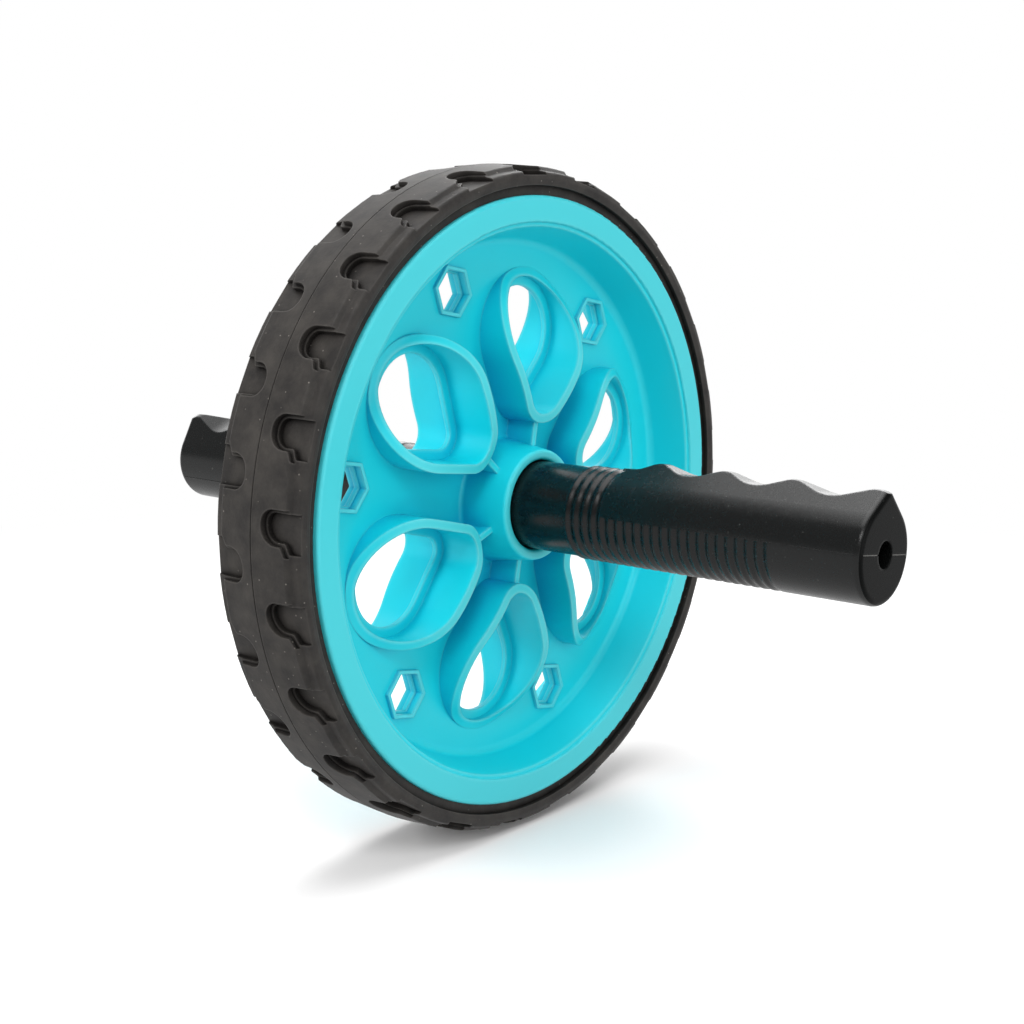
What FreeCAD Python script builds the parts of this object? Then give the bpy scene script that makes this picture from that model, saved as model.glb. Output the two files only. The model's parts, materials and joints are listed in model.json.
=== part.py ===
import FreeCAD, Part
import math
import os
import Sketcher

Vector = FreeCAD.Vector
doc = FreeCAD.newDocument("AbWheelRoller")
closeTo = 1e-4  # places this near to each other count as one
roundShare = 0.45  # widest rounding of an edge, as a share of its wall

# Driving dimensions in millimetres and degrees
driving = [
    ("rim_radius", 82.0, "outer radius of the moulded rim"),
    ("rim_half_width", 14.2, "rim face from the middle plane"),
    ("rim_edge_round", 0.9, "rounding of the rim's edges"),
    ("rim_face_width", 7.0, "flat ring on the rim's side"),
    ("rim_step_width", 1.1, "small step inside the flat ring"),
    ("rim_step_depth", 0.8, "how far that step lies below the ring"),
    ("rim_step_round", 0.5, "rounding of that step"),
    ("rim_wall_draft", 3.2, "how far the inner wall leans in on its way to the web"),
    ("rim_root_round", 2.4, "hollow where the wall runs into the web"),
    ("web_thickness", 4.0, "plate between hub and rim"),
    ("channel_depth", 3.5, "tyre channel in the rim"),
    ("channel_half_width", 8.0, "half width of the tyre channel"),
    ("hub_wall", 2.7, "wall of the hub at its outer lip"),
    ("hub_draft", 2.1, "how far the hub widens on its way to the web"),
    ("hub_half_width", 15.8, "hub lip from the middle plane"),
    ("hub_lip_round", 1.1, "rounding of the hub's lip"),
    ("hub_foot_round", 1.2, "hollow at the hub's foot"),
    ("hub_recess_depth", 7.3, "recess in the hub that takes the neck"),
    ("petal_count", 6.0, "teardrop tubes round the hub"),
    ("petal_rim_gap", 7.1, "from a tube to the foot of the rim's wall"),
    ("petal_side_gap", 5.75, "half the gap between two tubes"),
    ("petal_hub_gap", 4.9, "from a tube's tip to the foot of the hub"),
    ("petal_near_radius", 7.6, "tip, middle of the wall"),
    ("petal_wall", 2.4, "wall of a teardrop tube"),
    ("petal_ledge_width", 2.6, "ledge inside a tube"),
    ("petal_ledge_half", 0.7, "half thickness of that ledge"),
    ("dome_radius", 44.0, "curve that the lips follow"),
    ("dome_height", 13.5, "crown of that curve from the middle plane"),
    ("dome_blend", 8.0, "hollow where that curve runs out"),
    ("dome_run_out", 6.1, "end of that hollow from the foot of the rim's wall"),
    ("gusset_thickness", 1.7, "rib between a tip and the hub"),
    ("gusset_half_width", 11.0, "rib's edge from the middle plane"),
    ("hex_rim_gap", 2.5, "from a hexagon's lip to the foot of the rim's wall"),
    ("hex_radius", 6.2, "corner radius of a hexagonal hole"),
    ("hex_lip", 1.1, "width of the lip round it, at a corner"),
    ("hex_lip_rise", 1.0, "height of that lip above the web"),
    ("hex_ledge", 0.6, "ledge inside a hexagonal hole"),
    ("wheel_phase", 19.6, "turn of the wheel as photographed"),
    ("tyre_height", 8.2, "tread at the middle above the rim"),
    ("tyre_half_width", 14.6, "tyre at its widest, from the middle plane"),
    ("tyre_side_round", 0.9, "rounding of the tyre's side"),
    ("mould_line_depth", 0.25, "fine groove round the middle of the tread"),
    ("mould_line_half", 0.2, "half width of that groove"),
    ("tread_half_width", 10.8, "tread as far as its edge"),
    ("tread_crown", 0.6, "drop of the tread from middle to edge"),
    ("tread_edge_round", 0.7, "rounding of the tread's edge"),
    ("shelf_drop", 1.85, "drop from the middle of the tread to the shelf beside it"),
    ("shelf_start", 1.1, "shelf's inner side from the tread's edge"),
    ("shelf_hollow", 0.5, "hollow at the shelf's inner side"),
    ("shelf_slope", 0.25, "fall of the shelf towards the side"),
    ("shelf_inset", 0.55, "shelf's outer edge from the tyre's widest place"),
    ("side_drop", 4.0, "drop from the middle of the tread to the tyre's widest place"),
    ("bead_rise", 2.6, "crease between side and bead above the rim"),
    ("bead_lean", 0.45, "how far the side leans in to that crease"),
    ("bead_inset", 2.0, "bead beside the rim, from the tyre's widest place"),
    ("pocket_count", 25.0, "pockets in one row"),
    ("pocket_depth", 3.0, "depth of a pocket at the middle of the tread"),
    ("pocket_ledge_depth", 1.7, "depth of the ledge round a pocket's floor"),
    ("pocket_ledge", 0.8, "width of that ledge"),
    ("pocket_width", 8.7, "pocket across, at its round end"),
    ("pocket_mouth", 11.2, "pocket across, at the shoulder"),
    ("pocket_start", 3.2, "round end of a pocket from the middle plane"),
    ("pocket_step_start", 9.3, "where the pocket begins to widen"),
    ("pocket_step_end", 10.6, "where it is widest"),
    ("pocket_small_round", 3.6, "tighter corner of the round end"),
    ("pocket_large_round", 4.6, "wide curve of the round end"),
    ("pocket_step_round", 0.7, "rounding of the widening"),
    ("tread_phase", 0.76, "turn of the row at the right side"),
    ("tread_stagger", 9.2, "turn between the two rows"),
    ("axle_radius", 6.0, "steel rod"),
    ("axle_chamfer", 0.8, "bevel at the rod's ends"),
    ("running_clearance", 0.05, "radial gap between rod and bush"),
    ("bush_wall", 2.0, "wall of a bush"),
    ("bush_flange", 3.35, "flange of a bush beyond its wall"),
    ("bush_flange_thickness", 1.5, "thickness of that flange"),
    ("bush_inner_end", 1.0, "inner end of a bush from the middle plane"),
    ("washer_width", 4.9, "thrust washer from bore to rim"),
    ("washer_thickness", 1.0, "thickness of the washer"),
    ("washer_clearance", 0.1, "gap between washer and rod, all round"),
    ("axial_play", 0.1, "gap between bush flange and washer"),
    ("neck_wall", 5.85, "plain neck of a handle round the rod"),
    ("neck_clearance", 0.35, "gap between neck and hub recess, all round"),
    ("neck_length", 17.0, "plain neck outside the hub"),
    ("ring_length", 11.9, "part of the handle with rings all round"),
    ("grip_step", 0.5, "grip's round underside and the ring crests above the neck"),
    ("grip_rise", 2.85, "ridge of the grip above its round part"),
    ("grip_ridge_round", 2.3, "rounding of that ridge"),
    ("grip_length", 73.3, "finger grip"),
    ("grip_end_round", 1.6, "rounding of the end"),
    ("right_grip_turn", 8.3, "lean of the right ridge as photographed"),
    ("left_grip_turn", -23.0, "lean of the left ridge as photographed"),
    ("groove_lead", 2.07, "first groove from the start of the rings"),
    ("groove_pitch", 2.73, "from groove to groove"),
    ("groove_width", 2.3, "groove across, at its mouth"),
    ("groove_depth", 0.6, "groove's depth"),
    ("groove_round", 0.45, "rounding of the groove's bottom"),
    ("ring_count", 4.0, "grooves that go all the way round"),
    ("rib_count", 18.0, "grooves on the underside only"),
    ("scallop_floor", 0.4, "first scallop above the grip's round part"),
    ("scallop_dip", 0.45, "slopes of a scallop meet this far below the round part"),
    ("scallop_peak", 3.05, "slopes of a peak meet this far above the round part"),
    ("scallop_low_round", 13.0, "hollow of a scallop"),
    ("scallop_first_round", 6.5, "hollow of the first scallop"),
    ("scallop_high_round", 5.5, "rounding of a peak"),
    ("scallop_run_in", 4.0, "where the first slope begins, from the start of the grip"),
    ("peak_first", 9.4, "first peak from the start of the grip"),
    ("peak_pitch", 19.3, "from peak to peak"),
    ("peak_last", 3.2, "last peak from the end of the grip"),
    ("end_hole_radius", 3.35, "hole in the end face"),
    ("end_wall", 18.0, "from the end of the rod to the end face"),
    ("seam_width", 0.35, "mould line across the end face"),
    ("seam_depth", 0.2, "depth of that line"),
    ("overlap", 1.0, "how far a feature reaches into the one that it joins"),
    ("overshoot", 4.0, "how far a cut reaches past the solid"),
]
sheet = doc.addObject("Spreadsheet::Sheet", "Sizes")
for row, (alias, number, meaning) in enumerate(driving, start=1):
    sheet.set("A%d" % row, meaning)
    sheet.set("B%d" % row, str(number))
    sheet.setAlias("B%d" % row, alias)
doc.recompute()


class Size:
    # A dimension that carries both its sheet expression and its present value
    def __init__(self, text, value):
        self.text = text
        self.value = value

    def joined(self, sign, other, value):
        return Size("(%s %s %s)" % (self.text, sign, other.text), value)

    def __add__(self, other):
        other = plain(other)
        return self.joined("+", other, self.value + other.value)

    def __sub__(self, other):
        other = plain(other)
        return self.joined("-", other, self.value - other.value)

    def __mul__(self, other):
        other = plain(other)
        return self.joined("*", other, self.value * other.value)

    def __truediv__(self, other):
        other = plain(other)
        return self.joined("/", other, self.value / other.value)


def plain(number):
    if isinstance(number, Size):
        return number
    return Size("%.9g" % number, float(number))


def size(alias):
    return Size("Sizes.%s" % alias, float(sheet.get(alias)))


def smaller(first, second):
    return Size("min(%s; %s)" % (first.text, second.text), min(first.value, second.value))


def root(number):
    return Size("sqrt(%s)" % number.text, math.sqrt(number.value))


def sine(angle):
    return Size("sin(%s * 1 deg)" % angle.text, math.sin(math.radians(angle.value)))


def cosine(angle):
    return Size("cos(%s * 1 deg)" % angle.text, math.cos(math.radians(angle.value)))


def bind(thing, prop, dimension):
    thing.setExpression(prop, dimension.text)


def newBody(name):
    body = doc.addObject("PartDesign::Body", name)
    body.Label = name
    return body


def originItem(body, role):
    return [item for item in body.Origin.OriginFeatures if item.Role == role][0]


def newSketch(body, name, role):
    sketch = body.newObject("Sketcher::SketchObject", name)
    sketch.AttachmentSupport = [(originItem(body, role), "")]
    sketch.MapMode = "FlatFace"
    return sketch


def place(sketch, geo, end, across, up):
    # Holds a point of a sketch at its two distances from the origin
    for kind, axis, dimension in (("DistanceX", -2, plain(across)), ("DistanceY", -1, plain(up))):
        if dimension.text == "0":
            sketch.addConstraint(Sketcher.Constraint("PointOnObject", geo, end, axis))
            continue
        index = sketch.addConstraint(Sketcher.Constraint(kind, -1, 1, geo, end, dimension.value))
        bind(sketch, "Constraints[%d]" % index, dimension)


def holdRadius(sketch, arc, radius):
    index = sketch.addConstraint(Sketcher.Constraint("Radius", arc, radius.value))
    bind(sketch, "Constraints[%d]" % index, radius)


def arcEnds(sketch, arc, first):
    # Which end of an arc lies at the given point comes first
    if sketch.getPoint(arc, 1).distanceToPoint(first) < sketch.getPoint(arc, 2).distanceToPoint(first):
        return 1, 2
    return 2, 1


def outline(sketch, corners):
    # Closed outline through corners (across, up) or rounded corners (across, up, radius)
    corners = [tuple(plain(part) for part in corner) for corner in corners]
    points = [Vector(corner[0].value, corner[1].value, 0) for corner in corners]
    count = len(corners)
    leave, arrive, middle = [], [], []
    for i, corner in enumerate(corners):
        here = points[i]
        back = (points[i - 1] - here).normalize()
        ahead = (points[(i + 1) % count] - here).normalize()
        reach = 0.0
        if len(corner) == 3:
            half = back.getAngle(ahead) / 2
            reach = corner[2].value / math.tan(half)
            inward = (back + ahead).normalize()
            middle.append(here + inward * (corner[2].value / math.sin(half) - corner[2].value))
        else:
            middle.append(None)
        arrive.append(here + back * reach)
        leave.append(here + ahead * reach)
    lines = [sketch.addGeometry(Part.LineSegment(leave[i], arrive[(i + 1) % count])) for i in range(count)]
    for i, corner in enumerate(corners):
        before, after = lines[i - 1], lines[i]
        if len(corner) == 2:
            sketch.addConstraint(Sketcher.Constraint("Coincident", before, 2, after, 1))
            place(sketch, after, 1, corner[0], corner[1])
            continue
        apex = sketch.addGeometry(Part.Point(points[i]), True)
        place(sketch, apex, 1, corner[0], corner[1])
        sketch.addConstraint(Sketcher.Constraint("PointOnObject", apex, 1, before))
        sketch.addConstraint(Sketcher.Constraint("PointOnObject", apex, 1, after))
        arc = sketch.addGeometry(Part.Arc(arrive[i], middle[i], leave[i]))
        first, last = arcEnds(sketch, arc, arrive[i])
        sketch.addConstraint(Sketcher.Constraint("Tangent", before, 2, arc, first))
        sketch.addConstraint(Sketcher.Constraint("Tangent", arc, last, after, 1))
        holdRadius(sketch, arc, corner[2])


def teardrop(sketch, upright, largeAt, largeRadius, smallAt, smallRadius):
    # Two circles on one axis of the sketch, joined by their common tangents
    largeAt, smallAt = plain(largeAt), plain(smallAt)
    toward = 1 if smallAt.value > largeAt.value else -1
    lean = math.acos((largeRadius.value - smallRadius.value) / abs(smallAt.value - largeAt.value))

    def spot(at, radius, angle):
        along = at.value + toward * radius.value * math.cos(angle)
        aside = radius.value * math.sin(angle)
        return Vector(aside, along, 0) if upright else Vector(along, aside, 0)

    large = sketch.addGeometry(Part.Arc(spot(largeAt, largeRadius, lean),
                                        spot(largeAt, largeRadius, math.pi),
                                        spot(largeAt, largeRadius, -lean)))
    small = sketch.addGeometry(Part.Arc(spot(smallAt, smallRadius, lean), spot(smallAt, smallRadius, 0),
                                        spot(smallAt, smallRadius, -lean)))
    for side in (lean, -lean):
        line = sketch.addGeometry(Part.LineSegment(spot(largeAt, largeRadius, side),
                                                   spot(smallAt, smallRadius, side)))
        largeEnd = arcEnds(sketch, large, spot(largeAt, largeRadius, side))[0]
        smallEnd = arcEnds(sketch, small, spot(smallAt, smallRadius, side))[0]
        sketch.addConstraint(Sketcher.Constraint("Tangent", large, largeEnd, line, 1))
        sketch.addConstraint(Sketcher.Constraint("Tangent", line, 2, small, smallEnd))
    for arc, at, radius in ((large, largeAt, largeRadius), (small, smallAt, smallRadius)):
        if upright:
            place(sketch, arc, 3, 0, at)
        else:
            place(sketch, arc, 3, at, 0)
        holdRadius(sketch, arc, radius)


def revolve(body, kind, sketch, name, angle=360.0, backwards=False):
    feature = body.newObject(kind, name)
    feature.Profile = sketch
    feature.ReferenceAxis = (sketch, ["V_Axis"])
    feature.Angle = angle
    feature.Reversed = backwards
    return feature


def pad(body, sketch, name, length, symmetric=False):
    feature = body.newObject("PartDesign::Pad", name)
    feature.Profile = sketch
    feature.SideType = "Symmetric" if symmetric else "One side"
    bind(feature, "Length", length)
    return feature


def pocketThrough(body, sketch, name, symmetric=False, backwards=False):
    feature = body.newObject("PartDesign::Pocket", name)
    feature.Profile = sketch
    feature.Type = "ThroughAll"
    feature.SideType = "Symmetric" if symmetric else "One side"
    feature.Reversed = backwards
    return feature


def aroundAxle(body, features, name, count):
    pattern = body.newObject("PartDesign::PolarPattern", name)
    pattern.Originals = features
    pattern.Axis = (originItem(body, "Y_Axis"), [""])
    pattern.Angle = 360.0
    bind(pattern, "Occurrences", count)
    body.Tip = pattern
    return pattern


def alongAxle(body, features, name, pitch, count):
    pattern = body.newObject("PartDesign::LinearPattern", name)
    pattern.Originals = features
    pattern.Direction = (originItem(body, "Y_Axis"), [""])
    pattern.Reversed = True
    pattern.Mode = "Spacing"
    bind(pattern, "Offset", pitch)
    bind(pattern, "Occurrences", count)
    body.Tip = pattern
    return pattern


def turnAboutAxle(body, angle):
    body.Placement = FreeCAD.Placement(Vector(0, 0, 0), FreeCAD.Rotation(Vector(0, -1, 0), angle.value))
    bind(body, "Placement.Rotation.Angle", angle * Size("1 deg", 1.0))


def mirrored(half):
    # Corners of one side of the middle plane, followed by their mirror images
    other = [(corner[0], plain(0) - corner[1]) + tuple(corner[2:]) for corner in reversed(half)]
    return half + other


# Sizes that follow from the driving ones: wheel
webHalf = size("web_thickness") / 2
channelRadius = size("rim_radius") - size("channel_depth")
rimFaceRadius = size("rim_radius") - size("rim_face_width")
rimStepRadius = rimFaceRadius - size("rim_step_width")
rimRootRadius = rimStepRadius - size("rim_wall_draft")
bushBore = size("axle_radius") + size("running_clearance")
hubBore = bushBore + size("bush_wall")
neckRadius = size("axle_radius") + size("neck_wall")
hubRecessRadius = neckRadius + size("neck_clearance")
hubRecessFloor = size("hub_half_width") - size("hub_recess_depth")
hubRadius = hubRecessRadius + size("hub_wall")
hubFootRadius = hubRadius + size("hub_draft")
pastEverything = size("hub_half_width") + size("overshoot")

# Tubes: the large end is as wide as its neighbours and the rim's wall leave room for
halfWall = size("petal_wall") / 2
halfTurn = sine(plain(180) / size("petal_count"))
petalFarDistance = (rimRootRadius - size("petal_rim_gap") + size("petal_side_gap")) / (halfTurn + 1)
petalFarRadius = petalFarDistance * halfTurn - halfWall - size("petal_side_gap")
petalNearDistance = hubFootRadius + size("petal_hub_gap") + halfWall + size("petal_near_radius")
hexDistance = rimRootRadius - size("hex_rim_gap") - size("hex_lip") - size("hex_radius")

# Dome of the lips: its crown lies where the curve and its hollow reach the run-out
domeEnd = rimRootRadius - size("dome_run_out")
domeFall = size("dome_height") - webHalf
domeSpan = size("dome_radius") + size("dome_blend")
domeDistance = domeEnd - root(domeSpan * domeFall * 2 - domeFall * domeFall)
domeInner = (hubFootRadius + petalNearDistance - size("petal_near_radius") - halfWall) / 2
domeOuter = rimRootRadius - size("rim_root_round")

# Tyre, bearing and handles
tyreRadius = size("rim_radius") + size("tyre_height")
flangeFace = hubRecessFloor + size("bush_flange_thickness")
washerFace = flangeFace + size("axial_play")
neckEnd = washerFace + size("washer_thickness")
ringStart = size("hub_half_width") + size("neck_length")
gripStart = ringStart + size("ring_length")
gripEnd = gripStart + size("grip_length")
gripRadius = neckRadius + size("grip_step")
gripRidge = gripRadius + size("grip_rise")
axleHalfLength = gripEnd - size("end_wall")


# Wheel: rim, web and hub are one turned section
def buildWheel():
    body = newBody("wheel")
    section = newSketch(body, "wheel_section", "XY_Plane")
    edge = size("rim_edge_round")
    stepRound = smaller(size("rim_step_round"), size("rim_step_depth") / 2)
    stepRoot = stepRound / 2
    lipRound = smaller(size("hub_lip_round"), size("hub_wall") * roundShare)
    half = [
        (channelRadius, size("channel_half_width")),
        (size("rim_radius"), size("channel_half_width")),
        (size("rim_radius"), size("rim_half_width"), edge),
        (rimFaceRadius, size("rim_half_width"), stepRound),
        (rimFaceRadius, size("rim_half_width") - size("rim_step_depth"), stepRoot),
        (rimStepRadius, size("rim_half_width") - size("rim_step_depth"), stepRound),
        (rimRootRadius, webHalf, size("rim_root_round")),
        (hubFootRadius, webHalf, size("hub_foot_round")),
        (hubRadius, size("hub_half_width"), lipRound),
        (hubRecessRadius, size("hub_half_width"), lipRound),
        (hubRecessRadius, hubRecessFloor),
        (hubBore, hubRecessFloor),
    ]
    outline(section, mirrored(half))
    revolve(body, "PartDesign::Revolution", section, "wheel_turned")

    # Teardrop tubes stand out to the crown of the dome before it is cut
    tube = newSketch(body, "petal_tube", "XZ_Plane")
    teardrop(tube, False, petalFarDistance, petalFarRadius + halfWall,
             petalNearDistance, size("petal_near_radius") + halfWall)
    tubes = pad(body, tube, "petal_pad", (size("dome_height") + size("overlap")) * 2, symmetric=True)
    aroundAxle(body, [tubes], "petal_ring", size("petal_count"))

    # Lips of the tubes follow a dome that runs out to the web in a hollow
    crownHeight = size("dome_height").value
    reach = size("dome_radius").value
    blend = size("dome_blend").value
    centreHeight = size("dome_height") - size("dome_radius")
    start = math.sqrt(reach ** 2 - (domeInner - domeDistance).value ** 2) + centreHeight.value
    share = reach / (reach + blend)
    turnAt = domeDistance.value + (domeEnd - domeDistance).value * share
    turnUp = centreHeight.value + (webHalf.value + blend - centreHeight.value) * share
    lean = math.atan2(turnUp - webHalf.value - blend, turnAt - domeEnd.value)
    midLean = (lean - math.pi / 2) / 2
    for side, name in ((1, "dome_left"), (-1, "dome_right")):
        dome = newSketch(body, name + "_section", "XY_Plane")
        high = Vector(domeInner.value, side * start, 0)
        crown = Vector(domeDistance.value, side * crownHeight, 0)
        turn = Vector(turnAt, side * turnUp, 0)
        middle = Vector(domeEnd.value + blend * math.cos(midLean),
                        side * (webHalf.value + blend + blend * math.sin(midLean)), 0)
        low = Vector(domeEnd.value, side * webHalf.value, 0)
        arc = dome.addGeometry(Part.Arc(high, crown, turn))
        hollow = dome.addGeometry(Part.Arc(turn, middle, low))
        far = side * pastEverything.value
        corners = [low, Vector(domeOuter.value, low.y, 0), Vector(domeOuter.value, far, 0),
                   Vector(domeInner.value, far, 0), high]
        lines = [dome.addGeometry(Part.LineSegment(a, b)) for a, b in zip(corners, corners[1:])]
        highEnd, turnEnd = arcEnds(dome, arc, high)
        hollowStart, hollowEnd = arcEnds(dome, hollow, turn)
        dome.addConstraint(Sketcher.Constraint("Tangent", arc, turnEnd, hollow, hollowStart))
        dome.addConstraint(Sketcher.Constraint("Tangent", hollow, hollowEnd, lines[0], 1))
        place(dome, arc, 3, domeDistance, centreHeight * side)
        holdRadius(dome, arc, size("dome_radius"))
        holdRadius(dome, hollow, size("dome_blend"))
        dome.addConstraint(Sketcher.Constraint("Coincident", lines[3], 2, arc, highEnd))
        for before, after in zip(lines, lines[1:]):
            dome.addConstraint(Sketcher.Constraint("Coincident", before, 2, after, 1))
        dome.addConstraint(Sketcher.Constraint("Horizontal", lines[0]))
        dome.addConstraint(Sketcher.Constraint("Vertical", lines[3]))
        place(dome, lines[1], 1, domeOuter, webHalf * side)
        place(dome, lines[2], 1, domeOuter, pastEverything * side)
        place(dome, lines[3], 1, domeInner, pastEverything * side)
        revolve(body, "PartDesign::Groove", dome, name)

    # Hexagonal lips between the tubes and ribs from the tips to the hub
    between = 180 / size("petal_count").value
    lip = newSketch(body, "hex_lip_section", "XZ_Plane")
    hexagon(lip, between, size("hex_radius") + size("hex_lip"))
    lips = pad(body, lip, "hex_lip_pad", (webHalf + size("hex_lip_rise")) * 2, symmetric=True)
    rib = newSketch(body, "gusset_section", "XZ_Plane")
    tip = petalNearDistance - size("petal_near_radius")
    halfRib = size("gusset_thickness") / 2
    hubWall = (hubRecessRadius + hubRadius) / 2
    outline(rib, [(hubWall, plain(0) - halfRib), (tip, plain(0) - halfRib),
                  (tip, halfRib), (hubWall, halfRib)])
    ribs = pad(body, rib, "gusset_pad", size("gusset_half_width") * 2, symmetric=True)
    aroundAxle(body, [lips, ribs], "lip_and_gusset_ring", size("petal_count"))

    # Openings: each is cut from both faces down to a ledge, and the ledge is cut through
    cuts = []
    for side, name in ((1, "right"), (-1, "left")):
        mouth = newSketch(body, "petal_mouth_" + name, "XZ_Plane")
        bind(mouth, "AttachmentOffset.Base.z", size("petal_ledge_half") * side)
        teardrop(mouth, False, petalFarDistance, petalFarRadius - halfWall,
                 petalNearDistance, size("petal_near_radius") - halfWall)
        cuts.append(pocketThrough(body, mouth, "petal_pocket_" + name, backwards=side > 0))
        mouth = newSketch(body, "hex_mouth_" + name, "XZ_Plane")
        bind(mouth, "AttachmentOffset.Base.z", size("petal_ledge_half") * side)
        hexagon(mouth, between, size("hex_radius"))
        cuts.append(pocketThrough(body, mouth, "hex_pocket_" + name, backwards=side > 0))
    through = newSketch(body, "petal_opening", "XZ_Plane")
    inset = halfWall + size("petal_ledge_width")
    teardrop(through, False, petalFarDistance, petalFarRadius - inset,
             petalNearDistance, size("petal_near_radius") - inset)
    cuts.append(pocketThrough(body, through, "petal_through", symmetric=True))
    through = newSketch(body, "hex_opening", "XZ_Plane")
    hexagon(through, between, size("hex_radius") - size("hex_ledge"))
    cuts.append(pocketThrough(body, through, "hex_through", symmetric=True))
    aroundAxle(body, cuts, "opening_ring", size("petal_count"))
    turnAboutAxle(body, size("wheel_phase"))
    return body


def roundEdges(body, base, name, edges, radius):
    feature = body.newObject("PartDesign::Fillet", name)
    feature.Base = (base, edges)
    bind(feature, "Radius", radius)
    body.Tip = feature
    return feature


def hexagon(sketch, bearing, radius):
    # A corner points straight away from the axle
    across = math.cos(math.radians(bearing))
    up = math.sin(math.radians(bearing))
    corners = []
    for corner in range(6):
        angle = math.radians(bearing + 60 * corner)
        corners.append((hexDistance * across + radius * math.cos(angle),
                        hexDistance * up + radius * math.sin(angle)))
    outline(sketch, corners)


# Tyre: turned section with a tongue in the rim's channel, and two rows of pockets
def buildTyre():
    body = newBody("tyre")
    section = newSketch(body, "tyre_section", "XY_Plane")
    treadEdge = size("tread_half_width")
    shelf = tyreRadius - size("shelf_drop")
    widest = size("tyre_half_width")
    bead = widest - size("bead_inset")
    half = [
        (tyreRadius - size("mould_line_depth"), plain(0)),
        (tyreRadius, size("mould_line_half")),
        (tyreRadius - size("tread_crown"), treadEdge, size("tread_edge_round")),
        (shelf, treadEdge + size("shelf_start"), size("shelf_hollow")),
        (shelf - size("shelf_slope"), widest - size("shelf_inset"), size("tyre_side_round")),
        (tyreRadius - size("side_drop"), widest, size("tyre_side_round")),
        (size("rim_radius") + size("bead_rise"), widest - size("bead_lean")),
        (size("rim_radius") + size("bead_rise"), bead),
        (size("rim_radius"), bead),
        (size("rim_radius"), size("channel_half_width")),
        (channelRadius, size("channel_half_width")),
    ]
    outline(section, half[:1] + mirrored(half[1:]))
    revolve(body, "PartDesign::Revolution", section, "tyre_turned")

    # A pocket has a ledge round its floor, and both are open at the shoulder
    rows = []
    for side, row, turn in ((-1, "right", plain(0)), (1, "left", size("tread_stagger"))):
        for part, depth, inset in (("ledge", size("pocket_ledge_depth"), plain(0)),
                                   ("floor", size("pocket_depth"), size("pocket_ledge"))):
            name = "pocket_%s_%s" % (part, row)
            floor = tyreRadius - depth
            sketch = newSketch(body, name, "XY_Plane")
            sketch.AttachmentOffset = FreeCAD.Placement(Vector(0, 0, floor.value),
                                                        FreeCAD.Rotation(Vector(0, 1, 0), turn.value))
            if side > 0:
                bind(sketch, "AttachmentOffset.Rotation.Angle", turn * Size("1 deg", 1.0))
            bind(sketch, "AttachmentOffset.Base.x", floor * sine(turn))
            bind(sketch, "AttachmentOffset.Base.z", floor * cosine(turn))
            pocketOutline(sketch, side, inset)
            rows.append(pocketThrough(body, sketch, name + "_cut", backwards=True))
    aroundAxle(body, rows, "tread_ring", size("pocket_count"))
    turnAboutAxle(body, size("tread_phase"))
    return body


def pocketOutline(sketch, side, inset):
    # One straight flank, a lopsided round end and a flank that widens towards the shoulder
    past = size("tyre_half_width") + size("overshoot")
    straight = inset - size("pocket_mouth") / 2
    flank = size("pocket_width") - size("pocket_mouth") / 2 - inset
    mouth = size("pocket_mouth") / 2 - inset
    end = size("pocket_start") + inset
    smallRound = size("pocket_small_round") - inset
    largeRound = smaller(size("pocket_large_round") - inset, flank - straight - smallRound)
    outline(sketch, [
        (straight * side, past * side),
        (straight * side, end * side, smallRound),
        (flank * side, end * side, largeRound),
        (flank * side, (size("pocket_step_start") + inset) * side, size("pocket_step_round")),
        (mouth * side, (size("pocket_step_end") + inset) * side, size("pocket_step_round")),
        (mouth * side, past * side),
    ])


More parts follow.
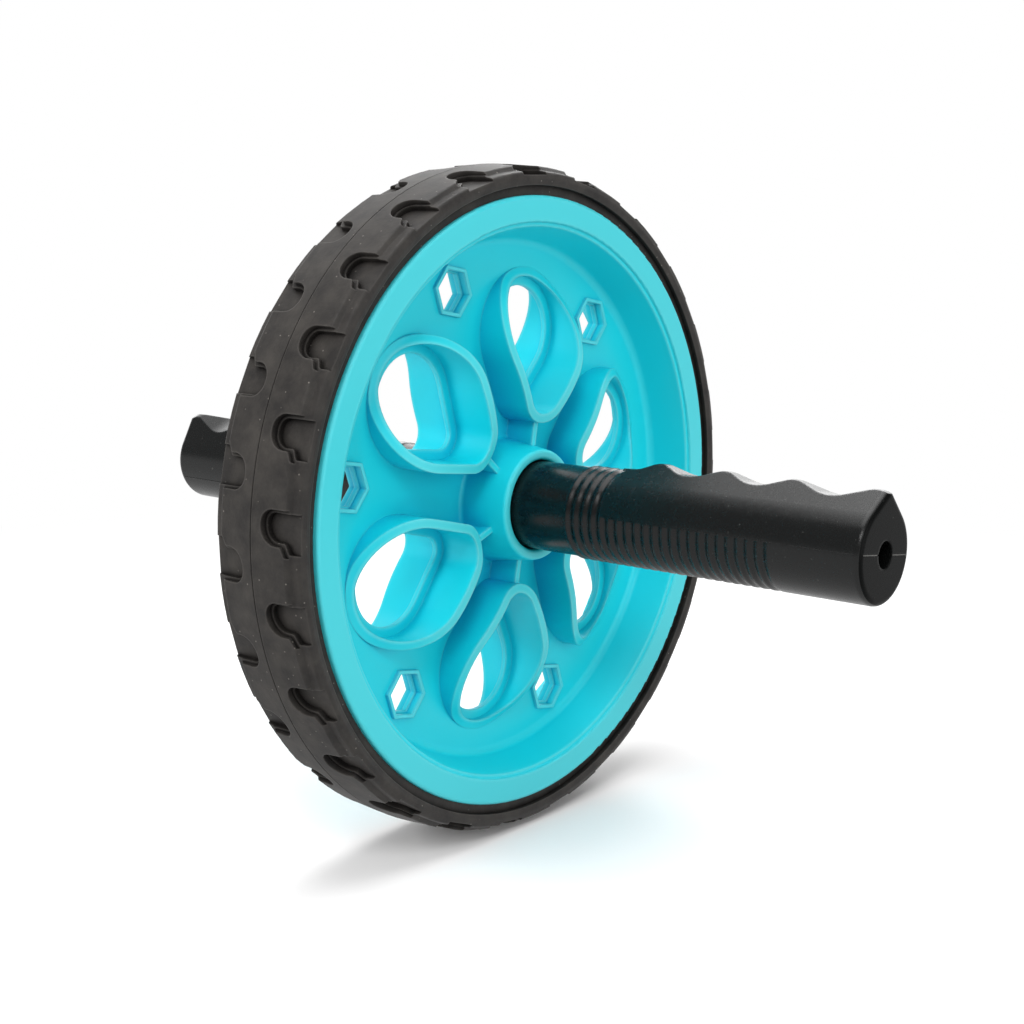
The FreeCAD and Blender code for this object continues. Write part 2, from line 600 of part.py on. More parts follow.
# Handle: drawn towards -Y, with a ridge along the top that the scallops are cut into
def buildHandle(name, turn, lean):
    body = newBody(name)
    neck = newSketch(body, name + "_neck_section", "XY_Plane")
    down = plain(0)
    outline(neck, [
        (size("axle_radius"), down - neckEnd),
        (neckRadius, down - neckEnd),
        (neckRadius, down - ringStart),
        (gripRadius, down - ringStart - size("grip_step")),
        (gripRadius, down - gripStart - size("overlap")),
        (size("axle_radius"), down - gripStart - size("overlap")),
    ])
    revolve(body, "PartDesign::Revolution", neck, name + "_neck")
    grip = newSketch(body, name + "_grip_section", "XZ_Plane")
    bind(grip, "AttachmentOffset.Base.z", gripStart)
    teardrop(grip, True, 0, gripRadius, gripRidge - size("grip_ridge_round"), size("grip_ridge_round"))
    gripPad = pad(body, grip, name + "_grip", size("grip_length"))

    # The end is rounded all the way round its rim before the scallops shape the ridge
    doc.recompute()
    rim = []
    for index, edge in enumerate(gripPad.Shape.Edges, start=1):
        if all(abs(vertex.Y + gripEnd.value) < closeTo for vertex in edge.Vertexes):
            rim.append("Edge%d" % index)
    roundEdges(body, gripPad, name + "_end_round", rim, size("grip_end_round"))

    # Finger scallops across the ridge
    waves = newSketch(body, name + "_scallops", "YZ_Plane")
    top = gripRidge + size("overshoot")
    floor = gripRadius + size("scallop_floor")
    low = gripRadius - size("scallop_dip")
    high = gripRadius + size("scallop_peak")
    last = gripEnd - size("peak_last")
    peaks = [gripStart + size("peak_first") + size("peak_pitch") * i for i in range(3)] + [last]
    corners = [
        (down - ringStart, top),
        (down - ringStart, floor),
        (down - gripStart - size("scallop_run_in"), floor, size("scallop_first_round")),
        (down - peaks[0], high, size("scallop_high_round")),
    ]
    for before, after in zip(peaks, peaks[1:]):
        corners.append((down - (before + after) / 2, low, size("scallop_low_round")))
        corners.append((down - after, high, size("scallop_high_round")))
    past = last + size("peak_pitch") / 2
    corners.append((down - past, low))
    corners.append((down - past, top))
    outline(waves, corners)
    pocketThrough(body, waves, name + "_scallop_cut", symmetric=True)

    # Grooves leave four rings round the start of the grip and ribs on its underside
    firstRing = ringStart + size("groove_lead")
    firstRib = firstRing + size("groove_pitch") * size("ring_count")
    for kind, angle, first, count in (("ring", 360.0, firstRing, size("ring_count")),
                                      ("rib", 180.0, firstRib, size("rib_count"))):
        cutter = newSketch(body, "%s_%s_groove_section" % (name, kind), "XY_Plane")
        above = gripRadius + size("groove_depth")
        outline(cutter, [
            (above, down - first + size("groove_width")),
            (above, down - first - size("groove_width")),
            (gripRadius - size("groove_depth"), down - first, size("groove_round")),
        ])
        groove = revolve(body, "PartDesign::Groove", cutter, "%s_%s_groove" % (name, kind), angle)
        alongAxle(body, [groove], "%s_%ss" % (name, kind), size("groove_pitch"), count)

    # Socket for the rod, the small hole in the end face and the mould line across that face
    for kind, radius, far in (("socket", size("axle_radius"), axleHalfLength),
                              ("end_hole", size("end_hole_radius"), gripEnd + size("overlap"))):
        bore = newSketch(body, "%s_%s_section" % (name, kind), "XY_Plane")
        near = size("overlap") - neckEnd
        outline(bore, [(plain(0), near), (radius, near), (radius, down - far), (plain(0), down - far)])
        revolve(body, "PartDesign::Groove", bore, "%s_%s" % (name, kind))
    seam = newSketch(body, name + "_seam_section", "XZ_Plane")
    bind(seam, "AttachmentOffset.Base.z", gripEnd - size("seam_depth"))
    reach = gripRadius + size("overlap")
    halfSeam = size("seam_width") / 2
    outline(seam, [(down - reach, down - halfSeam), (reach, down - halfSeam), (reach, halfSeam),
                   (down - reach, halfSeam)])
    pocketThrough(body, seam, name + "_seam", backwards=True)

    # The left handle is the right one after half a turn; each leans as it was pushed on
    if turn:
        body.Placement = FreeCAD.Placement(Vector(0, 0, 0), FreeCAD.Rotation(Vector(0, 0, 1), turn))
        bind(body, "Placement.Rotation.Axis.x", sine(lean / 2))
        bind(body, "Placement.Rotation.Axis.z", cosine(lean / 2))
    else:
        body.Placement = FreeCAD.Placement(Vector(0, 0, 0), FreeCAD.Rotation(Vector(0, 1, 0), lean.value))
        bind(body, "Placement.Rotation.Angle", lean * Size("1 deg", 1.0))
    return body


# Steel rod with bevelled ends
def buildAxle():
    body = newBody("axle_rod")
    section = newSketch(body, "axle_section", "XY_Plane")
    bevel = size("axle_chamfer")
    end = axleHalfLength
    outline(section, [
        (plain(0), plain(0) - end),
        (size("axle_radius") - bevel, plain(0) - end),
        (size("axle_radius"), bevel - end),
        (size("axle_radius"), end - bevel),
        (size("axle_radius") - bevel, end),
        (plain(0), end),
    ])
    revolve(body, "PartDesign::Revolution", section, "axle_turned")
    return body


# Flanged sleeve in the hub's bore
def buildBush(name, turn):
    body = newBody(name)
    section = newSketch(body, name + "_section", "XY_Plane")
    down = plain(0)
    outline(section, [
        (bushBore, down - size("bush_inner_end")),
        (hubBore, down - size("bush_inner_end")),
        (hubBore, down - hubRecessFloor),
        (hubBore + size("bush_flange"), down - hubRecessFloor),
        (hubBore + size("bush_flange"), down - flangeFace),
        (bushBore, down - flangeFace),
    ])
    revolve(body, "PartDesign::Revolution", section, name + "_turned")
    body.Placement = FreeCAD.Placement(Vector(0, 0, 0), FreeCAD.Rotation(Vector(0, 0, 1), turn))
    return body


# Thrust washer against the end of the neck
def buildWasher(name, turn):
    body = newBody(name)
    section = newSketch(body, name + "_section", "XY_Plane")
    down = plain(0)
    bore = size("axle_radius") + size("washer_clearance")
    outline(section, [
        (bore, down - washerFace),
        (bore + size("washer_width"), down - washerFace),
        (bore + size("washer_width"), down - neckEnd),
        (bore, down - neckEnd),
    ])
    revolve(body, "PartDesign::Revolution", section, name + "_turned")
    body.Placement = FreeCAD.Placement(Vector(0, 0, 0), FreeCAD.Rotation(Vector(0, 0, 1), turn))
    return body


pieces = [buildWheel(), buildTyre(), buildAxle()]
for side, turn in (("right", 0), ("left", 180)):
    pieces.append(buildHandle(side + "_handle", turn, size(side + "_grip_turn")))
    pieces.append(buildBush(side + "_bush", turn))
    pieces.append(buildWasher(side + "_washer", turn))
doc.recompute()

for item in doc.Objects:
    if "Invalid" in item.State or "Error" in item.State:
        raise RuntimeError("%s failed: %s" % (item.Label, item.State))
for piece in pieces:
    if piece.Shape.isNull() or not piece.Shape.isValid() or len(piece.Shape.Solids) != 1:
        raise RuntimeError("%s has no single valid solid" % piece.Label)

os.makedirs("parts", exist_ok=True)
for piece in pieces:
    piece.Shape.exportStep("parts/%s.step" % piece.Label)
    box = piece.Shape.BoundBox
    print("%-13s volume %9.0f  box %.1f %.1f %.1f" % (piece.Label, piece.Shape.Volume, box.XLength,
                                                     box.YLength, box.ZLength))
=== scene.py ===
import json
import math

import bpy
from mathutils import Matrix, Vector


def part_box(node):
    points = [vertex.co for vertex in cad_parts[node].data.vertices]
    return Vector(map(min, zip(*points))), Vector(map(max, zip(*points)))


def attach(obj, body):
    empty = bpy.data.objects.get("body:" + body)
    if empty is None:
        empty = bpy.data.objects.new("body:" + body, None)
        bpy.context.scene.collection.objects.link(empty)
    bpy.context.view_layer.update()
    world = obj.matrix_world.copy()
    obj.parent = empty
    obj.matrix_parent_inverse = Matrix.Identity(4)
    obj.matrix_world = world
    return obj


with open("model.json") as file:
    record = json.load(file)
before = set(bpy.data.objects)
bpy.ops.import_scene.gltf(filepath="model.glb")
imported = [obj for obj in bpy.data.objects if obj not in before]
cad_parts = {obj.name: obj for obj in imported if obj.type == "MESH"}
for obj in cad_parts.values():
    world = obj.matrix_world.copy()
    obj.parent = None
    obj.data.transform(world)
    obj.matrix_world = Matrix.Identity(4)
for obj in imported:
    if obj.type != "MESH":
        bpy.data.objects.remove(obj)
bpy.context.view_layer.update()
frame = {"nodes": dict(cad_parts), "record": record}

mm = 0.001
print("frame loaded:", ", ".join(sorted(frame["nodes"])))


def linear(hexColour):
    # sRGB hex to the linear RGBA that shader sockets take
    channels = [int(hexColour[i:i + 2], 16) / 255 for i in (1, 3, 5)]
    return tuple(c / 12.92 if c <= 0.04045 else ((c + 0.055) / 1.055) ** 2.4 for c in channels) + (1.0,)


def addNode(tree, kind, settings=None, inputs=None, links=None):
    # one node: settings are its properties, inputs its socket values, links (socket, from node, from socket)
    node = tree.nodes.new(kind)
    for name, value in (settings or {}).items():
        setattr(node, name, value)
    for name, value in (inputs or {}).items():
        node.inputs[name].default_value = value
    for socket, source, output in links or []:
        tree.links.new(source.outputs[output], node.inputs[socket])
    return node


def newMaterial(name):
    material = bpy.data.materials.new(name)
    material.use_nodes = True
    material.node_tree.nodes.clear()
    return material, material.node_tree


def perMetre(sizeMm):
    # noise scale whose features are about this many millimetres across
    return 1.0 / (sizeMm * mm)


def ranged(limits):
    # sockets 1 to 4 of a map range: from least, from most, to least, to most
    return dict(enumerate(limits, 1))


# Settings that several materials share
openForm = {"samples": 8, "only_local": True}  # occlusion outside: low in hollows
crestForm = {"samples": 8, "only_local": True, "inside": True}  # occlusion inside: low at crests
softEdge = {"samples": 6}
colourMix = {"data_type": "RGBA"}
numberMix = {"data_type": "FLOAT"}
smooth = {"interpolation_type": "SMOOTHSTEP"}


# Moulded polypropylene, turquoise: satin skin, with painted shade that goes bluer in hollows where light
# bounces from wall to wall, a painted sheen paling open faces and painted highlights paling crests
wheelSkin = {"shadeTints": {0.15: "#08a6ce", 0.4: "#06cede", 0.92: "#0ad0de", 1.0: "#40cdd8"}, "hollowMm": 30.0,
             "crestHighlightColour": "#74dde4", "crestRange": (0.5, 0.95, 0.5, 0.0), "crestMm": 1.0,
             "roughness": (0.0, 1.0, 0.37, 0.49), "patchMm": 30.0, "gloss": 0.4, "ior": 1.49,
             "skinMm": 0.35, "skinDepthMm": 0.05, "skinStrength": 0.06, "edgeMm": 0.6}


def turquoisePolypropylene():
    material, tree = newMaterial("polypropylene_turquoise_moulded")
    place = addNode(tree, "ShaderNodeNewGeometry")
    patch = addNode(tree, "ShaderNodeTexNoise",
                    inputs={"Scale": perMetre(wheelSkin["patchMm"]), "Detail": 2.0},
                    links=[("Vector", place, "Position")])
    hollow = addNode(tree, "ShaderNodeAmbientOcclusion", openForm, {"Distance": wheelSkin["hollowMm"] * mm})
    # painted shade and sheen: the colour runs from deep blue in hollows to pale turquoise on fully open faces
    tint = addNode(tree, "ShaderNodeValToRGB", links=[("Fac", hollow, "AO")])
    stops = tint.color_ramp.elements
    while len(stops) < len(wheelSkin["shadeTints"]):
        stops.new(0.5)
    for stop, (openness, colour) in zip(stops, wheelSkin["shadeTints"].items()):
        stop.position = openness
        stop.color = linear(colour)
    # painted highlight: crests are paled towards a light turquoise
    crest = addNode(tree, "ShaderNodeAmbientOcclusion", crestForm, {"Distance": wheelSkin["crestMm"] * mm})
    pale = addNode(tree, "ShaderNodeMapRange", {}, ranged(wheelSkin["crestRange"]), [(0, crest, "AO")])
    paled = addNode(tree, "ShaderNodeMix", colourMix, {7: linear(wheelSkin["crestHighlightColour"])},
                    [(0, pale, 0), (6, tint, "Color")])
    skin = addNode(tree, "ShaderNodeTexNoise", inputs={"Scale": perMetre(wheelSkin["skinMm"]), "Detail": 3.0},
                   links=[("Vector", place, "Position")])
    grain = addNode(tree, "ShaderNodeMapRange", {}, ranged(wheelSkin["roughness"]), [(0, patch, "Fac")])
    edge = addNode(tree, "ShaderNodeBevel", softEdge, {"Radius": wheelSkin["edgeMm"] * mm})
    bump = addNode(tree, "ShaderNodeBump",
                   inputs={"Strength": wheelSkin["skinStrength"], "Distance": wheelSkin["skinDepthMm"] * mm},
                   links=[("Height", skin, "Fac"), ("Normal", edge, "Normal")])
    shader = addNode(tree, "ShaderNodeBsdfPrincipled",
                     inputs={"IOR": wheelSkin["ior"], "Specular IOR Level": wheelSkin["gloss"]},
                     links=[("Base Color", paled, 2), ("Roughness", grain, 0), ("Normal", bump, "Normal")])
    addNode(tree, "ShaderNodeOutputMaterial", links=[("Surface", shader, "BSDF")])
    return material


# Vulcanised rubber, moulded: matt charcoal with dusty bloom and specks, painted shade darkening its pockets
# and painted highlights paling its edges
tyreSkin = {"colour": "#262423", "bloomColour": "#393633", "bloomRange": (0.36, 0.68, 0.0, 1.0),
            "bloomMm": 7.0, "edgeHighlightColour": "#5d5a56", "edgeHighlightRange": (0.55, 0.95, 0.3, 0.0), "edgeMm": 0.5,
            "speckColour": "#8f8a83", "speckRange": (0.04, 0.09, 0.5, 0.0), "speckMm": 2.8,
            "darkRange": (0.35, 0.9, 0.12, 1.0), "glossRange": (0.35, 0.9, 0.0, 0.24), "hollowMm": 4.0,
            "grainMm": 0.8, "grainDepthMm": 0.1, "grainStrength": 0.4, "roughness": 0.58, "ior": 1.5}


def blackRubber():
    material, tree = newMaterial("rubber_black_moulded")
    place = addNode(tree, "ShaderNodeTexCoord")
    bloom = addNode(tree, "ShaderNodeTexNoise",
                    inputs={"Scale": perMetre(tyreSkin["bloomMm"]), "Detail": 8.0, "Roughness": 0.62},
                    links=[("Vector", place, "Object")])
    spread = addNode(tree, "ShaderNodeMapRange", {}, ranged(tyreSkin["bloomRange"]), [(0, bloom, "Fac")])
    tint = addNode(tree, "ShaderNodeMix", colourMix,
                   {6: linear(tyreSkin["colour"]), 7: linear(tyreSkin["bloomColour"])}, [(0, spread, 0)])
    # painted highlight: convex edges are paled towards grey
    crest = addNode(tree, "ShaderNodeAmbientOcclusion", crestForm, {"Distance": tyreSkin["edgeMm"] * mm})
    edgeHighlight = addNode(tree, "ShaderNodeMapRange", {}, ranged(tyreSkin["edgeHighlightRange"]), [(0, crest, "AO")])
    paled = addNode(tree, "ShaderNodeMix", colourMix, {7: linear(tyreSkin["edgeHighlightColour"])},
                    [(0, edgeHighlight, 0), (6, tint, 2)])
    cells = addNode(tree, "ShaderNodeTexVoronoi", inputs={"Scale": perMetre(tyreSkin["speckMm"])},
                    links=[("Vector", place, "Object")])
    speck = addNode(tree, "ShaderNodeMapRange", {}, ranged(tyreSkin["speckRange"]),
                    links=[(0, cells, "Distance")])
    dusted = addNode(tree, "ShaderNodeMix", colourMix, {7: linear(tyreSkin["speckColour"])},
                     [(0, speck, 0), (6, paled, 2)])
    # painted shade: the colour is multiplied darker the deeper a spot lies in a pocket
    hollow = addNode(tree, "ShaderNodeAmbientOcclusion", openForm, {"Distance": tyreSkin["hollowMm"] * mm})
    dark = addNode(tree, "ShaderNodeMapRange", {}, ranged(tyreSkin["darkRange"]), [(0, hollow, "AO")])
    shaded = addNode(tree, "ShaderNodeMix", {"data_type": "RGBA", "blend_type": "MULTIPLY"}, {0: 1.0},
                     [(6, dusted, 2), (7, dark, 0)])
    gloss = addNode(tree, "ShaderNodeMapRange", {}, ranged(tyreSkin["glossRange"]), [(0, hollow, "AO")])
    grain = addNode(tree, "ShaderNodeTexNoise",
                    inputs={"Scale": perMetre(tyreSkin["grainMm"]), "Detail": 4.0},
                    links=[("Vector", place, "Object")])
    edge = addNode(tree, "ShaderNodeBevel", softEdge, {"Radius": tyreSkin["edgeMm"] * mm})
    bump = addNode(tree, "ShaderNodeBump",
                   inputs={"Strength": tyreSkin["grainStrength"], "Distance": tyreSkin["grainDepthMm"] * mm},
                   links=[("Height", grain, "Fac"), ("Normal", edge, "Normal")])
    shader = addNode(tree, "ShaderNodeBsdfPrincipled",
                     inputs={"Roughness": tyreSkin["roughness"], "IOR": tyreSkin["ior"]},
                     links=[("Base Color", shaded, 2), ("Specular IOR Level", gloss, 0),
                            ("Normal", bump, "Normal")])
    addNode(tree, "ShaderNodeOutputMaterial", links=[("Surface", shader, "BSDF")])
    return material


# Moulded polypropylene, black: semi-gloss skin, lightly orange-peeled, with a little dust, duller at the ends
gripSkin = {"colour": "#0b0c0c", "dustColour": "#3a3a38", "dustRange": (0.74, 0.82, 0.0, 1.0), "dustMm": 0.9,
            "roughness": (0.0, 1.0, 0.18, 0.34), "peelMm": 1.6, "peelDepthMm": 0.05, "peelStrength": 0.12,
            "gloss": (0.0, 1.0, 0.33, 0.04), "endMm": 117.5, "edgeMm": 0.8, "ior": 1.49}


def blackPolypropylene():
    material, tree = newMaterial("polypropylene_black_moulded")
    place = addNode(tree, "ShaderNodeNewGeometry")
    motes = addNode(tree, "ShaderNodeTexNoise", inputs={"Scale": perMetre(gripSkin["dustMm"]), "Detail": 1.0},
                    links=[("Vector", place, "Position")])
    dust = addNode(tree, "ShaderNodeMapRange", {}, ranged(gripSkin["dustRange"]), [(0, motes, "Fac")])
    tint = addNode(tree, "ShaderNodeMix", colourMix,
                   {6: linear(gripSkin["colour"]), 7: linear(gripSkin["dustColour"])}, [(0, dust, 0)])
    peel = addNode(tree, "ShaderNodeTexNoise", inputs={"Scale": perMetre(gripSkin["peelMm"]), "Detail": 3.0},
                   links=[("Vector", place, "Position")])
    sheen = addNode(tree, "ShaderNodeMapRange", {}, ranged(gripSkin["roughness"]), [(0, peel, "Fac")])
    edge = addNode(tree, "ShaderNodeBevel", softEdge, {"Radius": gripSkin["edgeMm"] * mm})
    bump = addNode(tree, "ShaderNodeBump",
                   inputs={"Strength": gripSkin["peelStrength"], "Distance": gripSkin["peelDepthMm"] * mm},
                   links=[("Height", peel, "Fac"), ("Normal", edge, "Normal")])
    spot = addNode(tree, "ShaderNodeSeparateXYZ", links=[(0, place, "Position")])
    reach = addNode(tree, "ShaderNodeMath", {"operation": "ABSOLUTE"}, links=[(0, spot, "Y")])
    atEnd = addNode(tree, "ShaderNodeMath", {"operation": "GREATER_THAN"}, {1: gripSkin["endMm"] * mm},
                    [(0, reach, 0)])
    gloss = addNode(tree, "ShaderNodeMapRange", {}, ranged(gripSkin["gloss"]), [(0, atEnd, 0)])
    shader = addNode(tree, "ShaderNodeBsdfPrincipled", inputs={"IOR": gripSkin["ior"]},
                     links=[("Base Color", tint, 2), ("Roughness", sheen, 0),
                            ("Specular IOR Level", gloss, 0), ("Normal", bump, "Normal")])
    addNode(tree, "ShaderNodeOutputMaterial", links=[("Surface", shader, "BSDF")])
    return material


# Drawn mild steel, bright: a fine unevenness of shine left by the die
steelSkin = {"colour": "#b9babb", "roughness": (0.0, 1.0, 0.22, 0.42), "lineMm": 0.4}


def brightSteel():
    material, tree = newMaterial("steel_bright_drawn")
    place = addNode(tree, "ShaderNodeNewGeometry")
    lines = addNode(tree, "ShaderNodeTexNoise",
                    inputs={"Scale": perMetre(steelSkin["lineMm"]), "Detail": 2.0},
                    links=[("Vector", place, "Position")])
    wear = addNode(tree, "ShaderNodeMapRange", {}, ranged(steelSkin["roughness"]), [(0, lines, "Fac")])
    shader = addNode(tree, "ShaderNodeBsdfPrincipled",
                     inputs={"Base Color": linear(steelSkin["colour"]), "Metallic": 1.0},
                     links=[("Roughness", wear, 0)])
    addNode(tree, "ShaderNodeOutputMaterial", links=[("Surface", shader, "BSDF")])
    return material


# Natural nylon, moulded: milky ivory with a waxy skin
nylonSkin = {"colour": "#e3ded0", "roughness": 0.45, "skinMm": 0.6, "skinDepthMm": 0.05, "skinStrength": 0.1,
             "ior": 1.53}


def naturalNylon():
    material, tree = newMaterial("nylon_natural_moulded")
    place = addNode(tree, "ShaderNodeNewGeometry")
    skin = addNode(tree, "ShaderNodeTexNoise", inputs={"Scale": perMetre(nylonSkin["skinMm"])},
                   links=[("Vector", place, "Position")])
    bump = addNode(tree, "ShaderNodeBump",
                   inputs={"Strength": nylonSkin["skinStrength"], "Distance": nylonSkin["skinDepthMm"] * mm},
                   links=[("Height", skin, "Fac")])
    shader = addNode(tree, "ShaderNodeBsdfPrincipled",
                     inputs={"Base Color": linear(nylonSkin["colour"]), "Roughness": nylonSkin["roughness"],
                             "IOR": nylonSkin["ior"]},
                     links=[("Normal", bump, "Normal")])
    addNode(tree, "ShaderNodeOutputMaterial", links=[("Surface", shader, "BSDF")])
    return material


finishes = {"wheel_plastic": turquoisePolypropylene(), "tyre_rubber": blackRubber(),
            "grip_plastic": blackPolypropylene(), "axle_steel": brightSteel(),
            "bearing_nylon": naturalNylon(), "washer_steel": brightSteel()}
slotOf = {part["node"]: part["material_slot"] for part in frame["record"]["subparts"]}
for name, node in frame["nodes"].items():
    node.data.materials.clear()
    node.data.materials.append(finishes[slotOf[name]])
print("materials assigned to", len(frame["nodes"]), "nodes")


# Flash of the mould's parting line: fine strips along the grips and, with a painted highlight in pale grey,
# across their end faces
flash = {"halfWidthMm": 0.13, "alongMm": (-116.3, -46.0), "flankMm": (12.25, 12.41),
         "endMm": (-117.99, -117.82), "acrossMm": (3.9, 10.8),
         "seamHighlightColour": "#6a6966", "seamHighlightMm": 0.8, "seamRoughness": 0.6,
         "rightLean": math.radians(8.3), "leftLean": math.radians(-11.5)}


def seamHighlightPolypropylene():
    material, tree = newMaterial("polypropylene_black_seam_highlight")
    place = addNode(tree, "ShaderNodeNewGeometry")
    seamGlint = addNode(tree, "ShaderNodeTexNoise", inputs={"Scale": perMetre(flash["seamHighlightMm"]), "Detail": 4.0},
                    links=[("Vector", place, "Position")])
    # painted highlight: the end strips are mottled pale grey where the seam catches the light
    tint = addNode(tree, "ShaderNodeMix", colourMix,
                   {6: linear(gripSkin["colour"]), 7: linear(flash["seamHighlightColour"])}, [(0, seamGlint, "Fac")])
    shader = addNode(tree, "ShaderNodeBsdfPrincipled",
                     inputs={"IOR": gripSkin["ior"], "Roughness": flash["seamRoughness"]},
                     links=[("Base Color", tint, 2)])
    addNode(tree, "ShaderNodeOutputMaterial", links=[("Surface", shader, "BSDF")])
    return material


def strip(name, spans, turn, finish):
    # box between the three spans, turned onto its grip
    corners = [turn @ (Vector((x, y, z)) * mm) for x in spans[0] for y in spans[1] for z in spans[2]]
    faces = [(0, 1, 3, 2), (4, 6, 7, 5), (0, 4, 5, 1), (2, 3, 7, 6), (0, 2, 6, 4), (1, 5, 7, 3)]
    mesh = bpy.data.meshes.new(name)
    mesh.from_pydata(corners, [], faces)
    mesh.materials.append(finish)
    piece = bpy.data.objects.new(name, mesh)
    bpy.context.scene.collection.objects.link(piece)
    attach(piece, "handlebar")


seamHighlightFinish = seamHighlightPolypropylene()
width = (-flash["halfWidthMm"], flash["halfWidthMm"])
halfTurnAxis = Vector((math.sin(flash["leftLean"]), 0, math.cos(flash["leftLean"])))
turns = {"right_handle": Matrix.Rotation(flash["rightLean"], 3, "Y"),
         "left_handle": Matrix.Rotation(math.pi, 3, halfTurnAxis)}
for handle, turn in turns.items():
    for side, sign in (("front", -1), ("rear", 1)):
        flank = tuple(sorted(sign * edge for edge in flash["flankMm"]))
        across = tuple(sorted(sign * edge for edge in flash["acrossMm"]))
        strip("%s_flash_%s" % (handle, side), (flank, flash["alongMm"], width), turn,
              finishes["grip_plastic"])
        strip("%s_end_flash_%s" % (handle, side), (across, flash["endMm"], width), turn, seamHighlightFinish)
print("parting lines laid on", len(turns), "grips")


# Studio paper, matt: white to the eye and in reflections, with the roller's soft shadow close by
floor = {"colour": "#fafafa", "bounceColour": "#c6c6c6", "half": 6.0, "whiteRange": (0.22, 0.5, 0.0, 1.0)}
bpy.ops.mesh.primitive_plane_add(size=floor["half"] * 2, location=(0, 0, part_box("tyre")[0].z))
ground = bpy.context.object
ground.name = "floor"
material, tree = newMaterial("studio_paper_white")
place = addNode(tree, "ShaderNodeNewGeometry")
reach = addNode(tree, "ShaderNodeVectorMath", {"operation": "LENGTH"}, links=[(0, place, "Position")])
far = addNode(tree, "ShaderNodeMapRange", smooth, ranged(floor["whiteRange"]), [(0, reach, "Value")])
path = addNode(tree, "ShaderNodeLightPath")
looked = addNode(tree, "ShaderNodeMath", {"operation": "MULTIPLY"},
                 links=[(0, far, 0), (1, path, "Is Camera Ray")])
share = addNode(tree, "ShaderNodeMath", {"operation": "MAXIMUM"},
                links=[(0, looked, 0), (1, path, "Is Glossy Ray")])
paper = addNode(tree, "ShaderNodeMix", colourMix,
                {6: linear(floor["bounceColour"]), 7: linear(floor["colour"])}, [(0, path, "Is Camera Ray")])
matt = addNode(tree, "ShaderNodeBsdfDiffuse", links=[("Color", paper, 2)])
white = addNode(tree, "ShaderNodeEmission", inputs={"Color": (1, 1, 1, 1), "Strength": 1.0})
both = addNode(tree, "ShaderNodeMixShader", links=[(0, share, 0), (1, matt, "BSDF"), (2, white, "Emission")])
addNode(tree, "ShaderNodeOutputMaterial", links=[("Surface", both, "Shader")])
ground.data.materials.append(material)

# Soft studio: the backdrop and the low sweep are what shiny faces mirror, the ambient what lights the part
studio = {"ambient": 0.5, "backdropAt": (0.74, 0.6, 0.3), "backdropRange": (0.45, 0.9, 0.35, 2.2),
          "sweepRange": (0.0, 0.2, 1.0, 0.0), "lamps": {
              "key": {"at": (-0.9, -0.7, 1.0), "size": 0.4, "watts": 6.0, "mirrored": True},
              "left": {"at": (-1.25, 0.8, 0.5), "size": 1.0, "watts": 15.0, "mirrored": False},
              "front": {"at": (0.1, -1.3, 0.2), "size": 0.9, "watts": 5.8, "mirrored": True},
              "rear": {"at": (0.95, 0.45, 0.75), "size": 0.5, "watts": 5.0, "mirrored": True},
              "top": {"at": (0.0, 0.0, 1.4), "size": 1.2, "watts": 14.5, "mirrored": True}}}
world = bpy.data.worlds.new("studio")
bpy.context.scene.world = world
world.use_nodes = True
tree = world.node_tree
tree.nodes.clear()
path = addNode(tree, "ShaderNodeLightPath")
seen = addNode(tree, "ShaderNodeMath", {"operation": "MAXIMUM"},
               links=[(0, path, "Is Camera Ray"), (1, path, "Is Transmission Ray")])
heading = addNode(tree, "ShaderNodeTexCoord")
facing = addNode(tree, "ShaderNodeVectorMath", {"operation": "DOT_PRODUCT"}, {1: studio["backdropAt"]},
                 [(0, heading, "Generated")])
backdrop = addNode(tree, "ShaderNodeMapRange", smooth, ranged(studio["backdropRange"]),
                   [(0, facing, "Value")])
height = addNode(tree, "ShaderNodeSeparateXYZ", links=[(0, heading, "Generated")])
sweep = addNode(tree, "ShaderNodeMapRange", smooth, ranged(studio["sweepRange"]), [(0, height, "Z")])
brighter = addNode(tree, "ShaderNodeMath", {"operation": "MAXIMUM"}, links=[(0, backdrop, 0), (1, sweep, 0)])
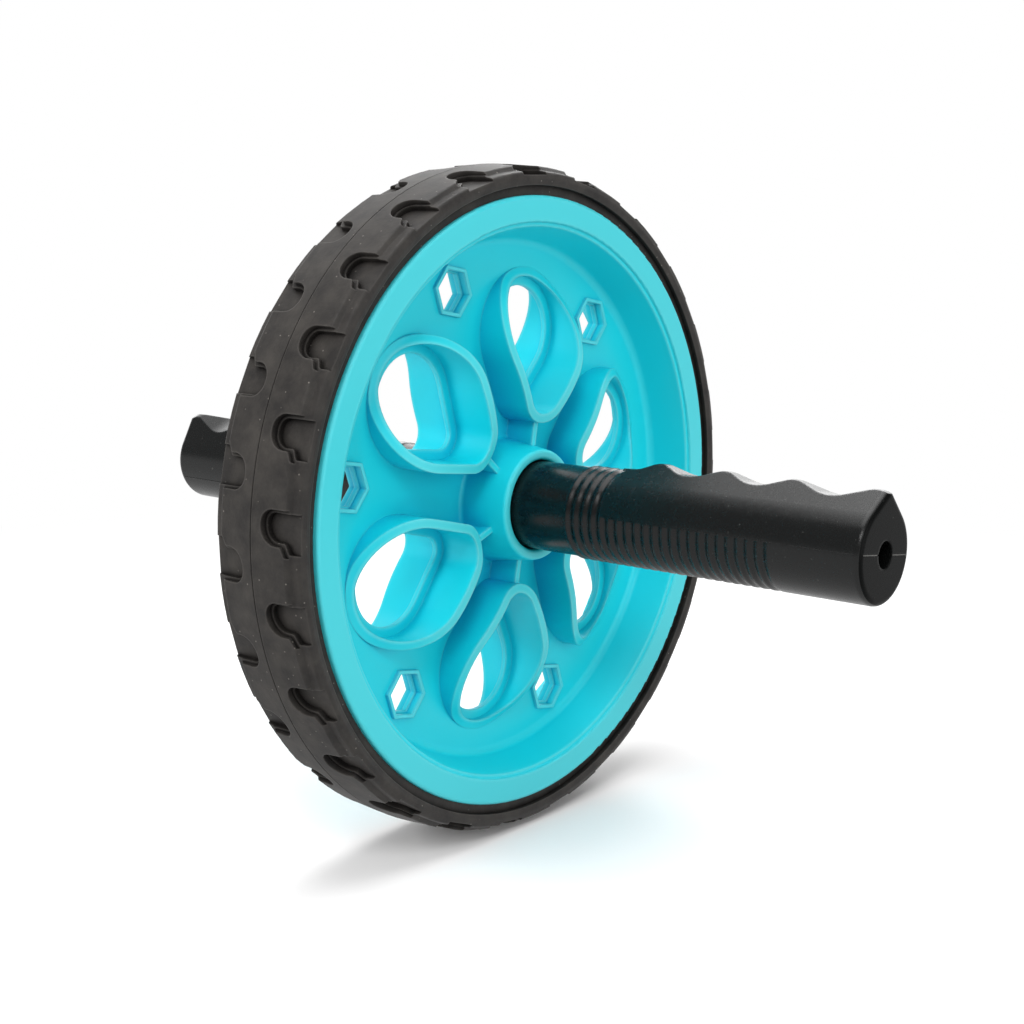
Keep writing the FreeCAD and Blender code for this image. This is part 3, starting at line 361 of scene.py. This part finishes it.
around = addNode(tree, "ShaderNodeMix", numberMix, {2: studio["ambient"]},
                 [(0, path, "Is Glossy Ray"), (3, brighter, 0)])
strength = addNode(tree, "ShaderNodeMix", numberMix, {3: 1.0}, [(0, seen, 0), (2, around, 0)])
back = addNode(tree, "ShaderNodeBackground", inputs={"Color": (1, 1, 1, 1)},
               links=[("Strength", strength, 0)])
addNode(tree, "ShaderNodeOutputWorld", links=[("Surface", back, "Background")])
for name, lamp in studio["lamps"].items():
    data = bpy.data.lights.new(name, "AREA")
    data.size = lamp["size"]
    data.energy = lamp["watts"]
    light = bpy.data.objects.new(name, data)
    light.location = lamp["at"]
    light.visible_glossy = lamp["mirrored"]
    light.rotation_euler = (-Vector(lamp["at"])).to_track_quat("-Z", "Y").to_euler()
    bpy.context.scene.collection.objects.link(light)
print("studio lit by", len(studio["lamps"]), "lamps")


# Camera of the photograph: fitted to the rim, hub, tyre and handle ends
shot = {"azimuth": -50.84, "elevation": 10.38, "roll": 0.24, "distanceMm": 481.73, "focalMm": 61.70,
        "rightMm": -4.59, "upMm": 3.75, "sensorMm": 36.0, "nearMm": 10.0}
azimuth, elevation, roll = (math.radians(shot[key]) for key in ("azimuth", "elevation", "roll"))
away = Vector((math.sin(azimuth) * math.cos(elevation), -math.cos(azimuth) * math.cos(elevation),
               math.sin(elevation)))
level = Vector((math.cos(azimuth), math.sin(azimuth), 0))
upright = away.cross(level)
right = level * math.cos(roll) + upright * math.sin(roll)
up = upright * math.cos(roll) - level * math.sin(roll)
cameraData = bpy.data.cameras.new("photograph")
cameraData.lens = shot["focalMm"]
cameraData.sensor_width = shot["sensorMm"]
cameraData.clip_start = shot["nearMm"] * mm
camera = bpy.data.objects.new("photograph", cameraData)
bpy.context.scene.collection.objects.link(camera)
place = (away * shot["distanceMm"] - right * shot["rightMm"] - up * shot["upMm"]) * mm
camera.matrix_world = Matrix.Translation(place) @ Matrix((right, up, away)).transposed().to_4x4()
bpy.context.scene.camera = camera
bpy.context.scene.view_settings.view_transform = "Standard"
print("camera at", tuple(round(v, 3) for v in place))
